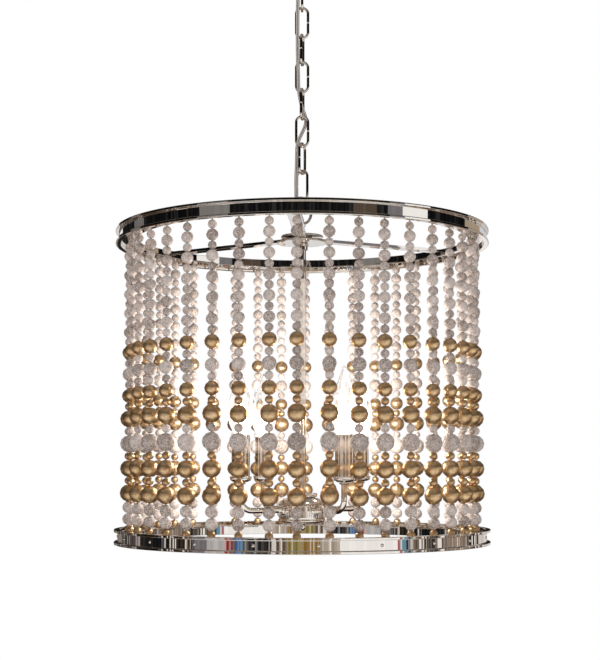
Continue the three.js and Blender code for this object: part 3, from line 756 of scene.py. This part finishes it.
for number, turn in enumerate(arm_turns, 1):
    at_tip = {"height": foot, "spin": turn, "out": arm_reach}
    bulb = f"bulb_{number}"
    envelope = turned(glass_outline + inner_outline, steps=64)
    finish(envelope, f"bulb_{number}_envelope", glass, bulb, [bulb], slot="bulb_glass", smooth=60, **at_tip)
    envelope.visible_shadow = False
    cap = turned(cap_outline, steps=40, closed=False)
    finish(cap, f"bulb_{number}_cap", brass, bulb, **at_tip)
    stem = turned(stem_outline, steps=20, closed=False)
    finish(stem, f"bulb_{number}_stem", glass, bulb, slot="bulb_glass", **at_tip)
    stem.visible_shadow = False
    coil = bpy.data.curves.new("coil", "CURVE")
    coil.dimensions = "3D"
    coil.bevel_depth = 0.00045
    coil.bevel_resolution = 2
    spline = coil.splines.new("POLY")
    spline.points.add(coil_points)
    for i in range(coil_points + 1):
        swing = math.tau * i / coil_facets
        x, y = coil_radius * math.cos(swing), coil_radius * math.sin(swing)
        z = coil_foot + coil_height * i / coil_points
        spline.points[i].co = (x / 1000, y / 1000, z / 1000, 1)
    filament = bpy.data.objects.new("filament", coil)
    bpy.context.scene.collection.objects.link(filament)
    finish(filament, f"bulb_{number}_filament", filament_glow, bulb, slot="bulb_glass", **at_tip)
    lamp = bpy.data.lights.new(f"bulb_{number}_light", "POINT")
    lamp.energy = 1.0
    lamp.shadow_soft_size = 0.012
    lamp.color = (1.0, 0.97, 0.94)
    glow = bpy.data.objects.new(f"bulb_{number}_light", lamp)
    bpy.context.scene.collection.objects.link(glow)
    x, y = arm_reach * math.cos(math.radians(turn)), arm_reach * math.sin(math.radians(turn))
    glow.location = (x / 1000, y / 1000, (foot + glow_level) / 1000)


# Studio
# A plain pale floor and an even white room. Round the light stand dark and pale screens that only
# polished metal shows, as the upright streaks along the bands.
bpy.ops.mesh.primitive_plane_add(size=14, location=(0, 0, -2.4))
floor = bpy.context.object
floor.name = "studio_floor"


def greatest(tree, first, second):
    """The greater of two values."""
    return add_node(tree, "Math", {0: first, 1: second}, operation="MAXIMUM").outputs[0]


def mix_shaders(tree, share, none, full):
    """A shader between two: all of the first at a share of 0, all of the second at 1."""
    return add_node(tree, "MixShader", {0: share, 1: none.outputs[0], 2: full.outputs[0]})


paper, tree = new_material("paper_white_floor")
rays = add_node(tree, "LightPath").outputs
matt = add_node(tree, "BsdfDiffuse", {"Color": to_linear("#ececea")})
bright = add_node(tree, "Emission", {"Color": (1, 1, 1, 1), "Strength": 0.6})
lit = add_node(tree, "AddShader", {0: matt.outputs[0], 1: bright.outputs[0]})
# polished metal and gold see a floor that is dark below the light and bright in front of it: a painted
# reflection, which darkens their undersides, while to the camera and to bounced light the floor is plain and
# pale
place = add_node(tree, "TexCoord").outputs["Object"]
depth = add_node(tree, "SeparateXYZ", {0: place}).outputs["Y"]
ahead = map_range(tree, depth, 0, 1, start=-0.3, end=-1.1, interpolation_type="SMOOTHSTEP")
# the painted reflection's colour: dark brown under the light, white in front of it
painted_floor_reflection = mix_colours(tree, ahead, to_linear("#33241a"), to_linear("#fffdfa"))
mirrored = add_node(tree, "Emission", {"Color": painted_floor_reflection, "Strength": 1.0})
seen = greatest(tree, rays["Is Camera Ray"], rays["Is Transmission Ray"])
shown = mix_shaders(tree, rays["Is Glossy Ray"], mix_shaders(tree, seen, matt, lit), mirrored)
add_node(tree, "OutputMaterial", {"Surface": shown.outputs[0]})
floor.data.materials.append(paper)

world = bpy.data.worlds.new("studio")
bpy.context.scene.world = world
world.use_nodes = True
tree = world.node_tree
tree.nodes.clear()
rays = add_node(tree, "LightPath").outputs
seen = greatest(tree, rays["Is Camera Ray"], rays["Is Glossy Ray"])
seen = greatest(tree, seen, rays["Is Transmission Ray"])
soft = add_node(tree, "Background", {"Color": to_linear("#fbfbff"), "Strength": 0.55})
white = add_node(tree, "Background", {"Color": (1, 1, 1, 1), "Strength": 1.0})
add_node(tree, "OutputWorld", {"Surface": mix_shaders(tree, seen, soft, white).outputs[0]})

# the screens stand on a drum 3 m in radius, closed above and open below
bpy.ops.mesh.primitive_cylinder_add(
    vertices=96, radius=3, depth=4.9, end_fill_type="NGON", location=(0, 0, 0.1),
)
screens = bpy.context.object
screens.name = "studio_screens"
bpy.ops.object.transform_apply(location=True)
pick(screens, lambda at: at.z < -2)
bpy.ops.mesh.select_mode(type="FACE")
bpy.ops.mesh.delete(type="ONLY_FACE")
bpy.ops.object.mode_set(mode="OBJECT")
screens.visible_camera = screens.visible_diffuse = screens.visible_shadow = False
screens.visible_transmission = screens.visible_volume_scatter = False
screen_cloth, tree = new_material("screens_dark_and_pale")
screen_cloth.cycles.emission_sampling = "NONE"
place = add_node(tree, "TexCoord").outputs["Object"]
tall = add_node(tree, "SeparateXYZ", {0: place}).outputs["Z"]
turned_place = add_node(tree, "Mapping", {"Vector": place, "Rotation": (0, 0, math.radians(90))})
gradient = add_node(tree, "TexGradient", {"Vector": turned_place.outputs[0]}, gradient_type="RADIAL")
round_about = gradient.outputs["Fac"]


def cards(shares_and_colours):
    """A row of screens side by side, from behind the light round by its left and its front."""
    return add_ramp(tree, round_about, shares_and_colours, "CONSTANT")


def slats(count, shares_and_tones):
    """Upright slats of equal width all round, each of a tone drawn by lot."""
    slat = add_node(tree, "Math", {0: round_about, 1: count}, operation="MULTIPLY")
    slat = add_node(tree, "Math", {0: slat.outputs[0]}, operation="FLOOR")
    drawn = add_node(tree, "TexWhiteNoise", {"W": slat.outputs[0]}, noise_dimensions="1D")
    return add_ramp(tree, drawn.outputs["Value"], shares_and_tones, "CONSTANT")


def wall(below, above, height):
    """One row of screens beneath another, which starts at a height in metres."""
    is_below = add_node(tree, "Math", {0: tall, 1: height}, operation="LESS_THAN")
    return mix_colours(tree, is_below.outputs[0], above, below)


low_cards = cards([
    (0.0, "#e2e2e3"), (0.005, "#26221f"), (0.033, "#9a9794"), (0.10, "#4a423d"), (0.19, "#121417"),
    (0.25, "#4d4034"), (0.32, "#77757a"), (0.34, "#b9b7b9"), (0.373, "#a83a3c"), (0.380, "#d99a95"),
    (0.383, "#8c2f38"), (0.388, "#1b2436"), (0.392, "#3577c0"), (0.399, "#86b4de"), (0.403, "#23282e"),
    (0.45, "#141414"), (0.457, "#a8927c"), (0.475, "#97873a"), (0.5, "#a5803a"), (0.525, "#fff0dd"),
    (0.555, "#ffffff"), (0.655, "#b5656c"), (0.660, "#dcd6d4"), (0.663, "#78b3cf"), (0.669, "#1d2d42"),
    (0.676, "#ebe6e2"), (0.682, "#8a7b6c"), (0.75, "#e0c8b4"), (0.82, "#8a7b6c"), (0.87, "#f2ece8"),
    (0.97, "#e2e2e3"),
])
candle_cards = cards([
    (0.0, "#e2e2e3"), (0.005, "#2a2018"), (0.14, "#4d3b2c"), (0.28, "#b0987f"), (0.36, "#fff6ec"),
    (0.465, "#d6bda4"), (0.52, "#fff6ec"), (0.66, "#b0987f"), (0.74, "#4d3b2c"), (0.81, "#fffaf2"),
    (0.87, "#2a2018"), (0.97, "#e2e2e3"),
])
middle_cards = cards([
    (0.0, "#e2e2e3"), (0.005, "#33291f"), (0.14, "#5f5044"), (0.28, "#b0a090"), (0.36, "#fffaf5"),
    (0.465, "#eadfd4"), (0.52, "#fffaf5"), (0.84, "#5a4a3d"), (0.9, "#33291f"), (0.97, "#e2e2e3"),
])
high_cards = cards([
    (0.0, "#f4f4f6"), (0.09, "#101214"), (0.16, "#6f6d6b"), (0.195, "#0c0d0f"), (0.325, "#7d7b79"),
    (0.38, "#101113"), (0.58, "#54483f"), (0.62, "#141516"), (0.64, "#77757a"), (0.665, "#ffffff"),
    (0.715, "#0c0d0f"), (0.82, "#a89a86"), (0.89, "#cfd8e4"),
])

# slats of every tone stand among the cards: the brighter a mixture is, the more of them show there
fine_slats = slats(420.0, [
    (0.0, "#0e0e10"), (0.25, "#3a302a"), (0.42, "#75685d"), (0.58, "#a89c92"), (0.7, "#6d6d73"),
    (0.8, "#f4f1ee"),
])
broad_slats = slats(46.0, [
    (0.0, "#241a12"), (0.3, "#7a5a3c"), (0.52, "#e8cfae"), (0.7, "#fffaf2"), (0.9, "#4a3524"),
])
low_mixture = cards([
    (0.0, "#303030"), (0.005, "#141414"), (0.033, "#dadada"), (0.10, "#b3b3b3"), (0.19, "#404040"),
    (0.25, "#eeeeee"), (0.32, "#626262"), (0.375, "#aaaaaa"), (0.405, "#959595"), (0.44, "#e1e1e1"),
    (0.475, "#aaaaaa"), (0.525, "#d8d8d8"), (0.555, "#505050"), (0.66, "#a0a0a0"), (0.69, "#f9f9f9"),
    (0.75, "#dcdcdc"), (0.82, "#f9f9f9"), (0.87, "#a0a0a0"), (0.97, "#404040"),
])
candle_mixture = cards([(0.0, "#202020"), (0.26, "#e4e4e4"), (0.76, "#202020")])
low = mix_colours(tree, low_mixture, low_cards, fine_slats)
candle = mix_colours(tree, candle_mixture, candle_cards, broad_slats)
middle = mix_colours(tree, 0.15, middle_cards, fine_slats)
high = mix_colours(tree, 0.025, high_cards, fine_slats)
skirting = cards([
    (0.0, "#6b4f38"), (0.22, "#bda893"), (0.3, "#fffdfa"), (0.7, "#bda893"), (0.78, "#6b4f38"),
])

# the ceiling and the rows down from it, each with the height in metres that it reaches up to
screen_colour = to_linear("#8f8880")
for row, top in (
    (to_linear("#6e6760"), 2.5), (to_linear("#17130f"), 1.2), (high, 0.18), (middle, -0.06),
    (candle, -0.52), (low, -0.84), (skirting, -1.35),
):
    screen_colour = wall(row, screen_colour, top)
show(tree, "Emission", {"Color": screen_colour, "Strength": 1.05})
screens.data.materials.append(screen_cloth)

# three large soft lights, low in front, high at the left and behind; polished metal sees the
# screens instead
drum_middle = Vector((0, 0, -0.6))
for name, power, size, place in (
    ("soft_light_low", 33.0, 2.2, (0.5, -2.7, -1.7)),
    ("soft_light_high", 12.0, 1.8, (-1.9, -2.0, 0.9)),
    ("soft_light_behind", 20.0, 2.2, (1.2, 2.6, -0.3)),
):
    panel = bpy.data.lights.new(name, "AREA")
    panel.energy = power
    panel.size = size
    soft_light = bpy.data.objects.new(name, panel)
    bpy.context.scene.collection.objects.link(soft_light)
    soft_light.location = place
    soft_light.rotation_euler = (drum_middle - Vector(place)).to_track_quat("-Z", "Y").to_euler()
    soft_light.visible_camera = soft_light.visible_glossy = False

bpy.context.scene.view_settings.view_transform = "Standard"
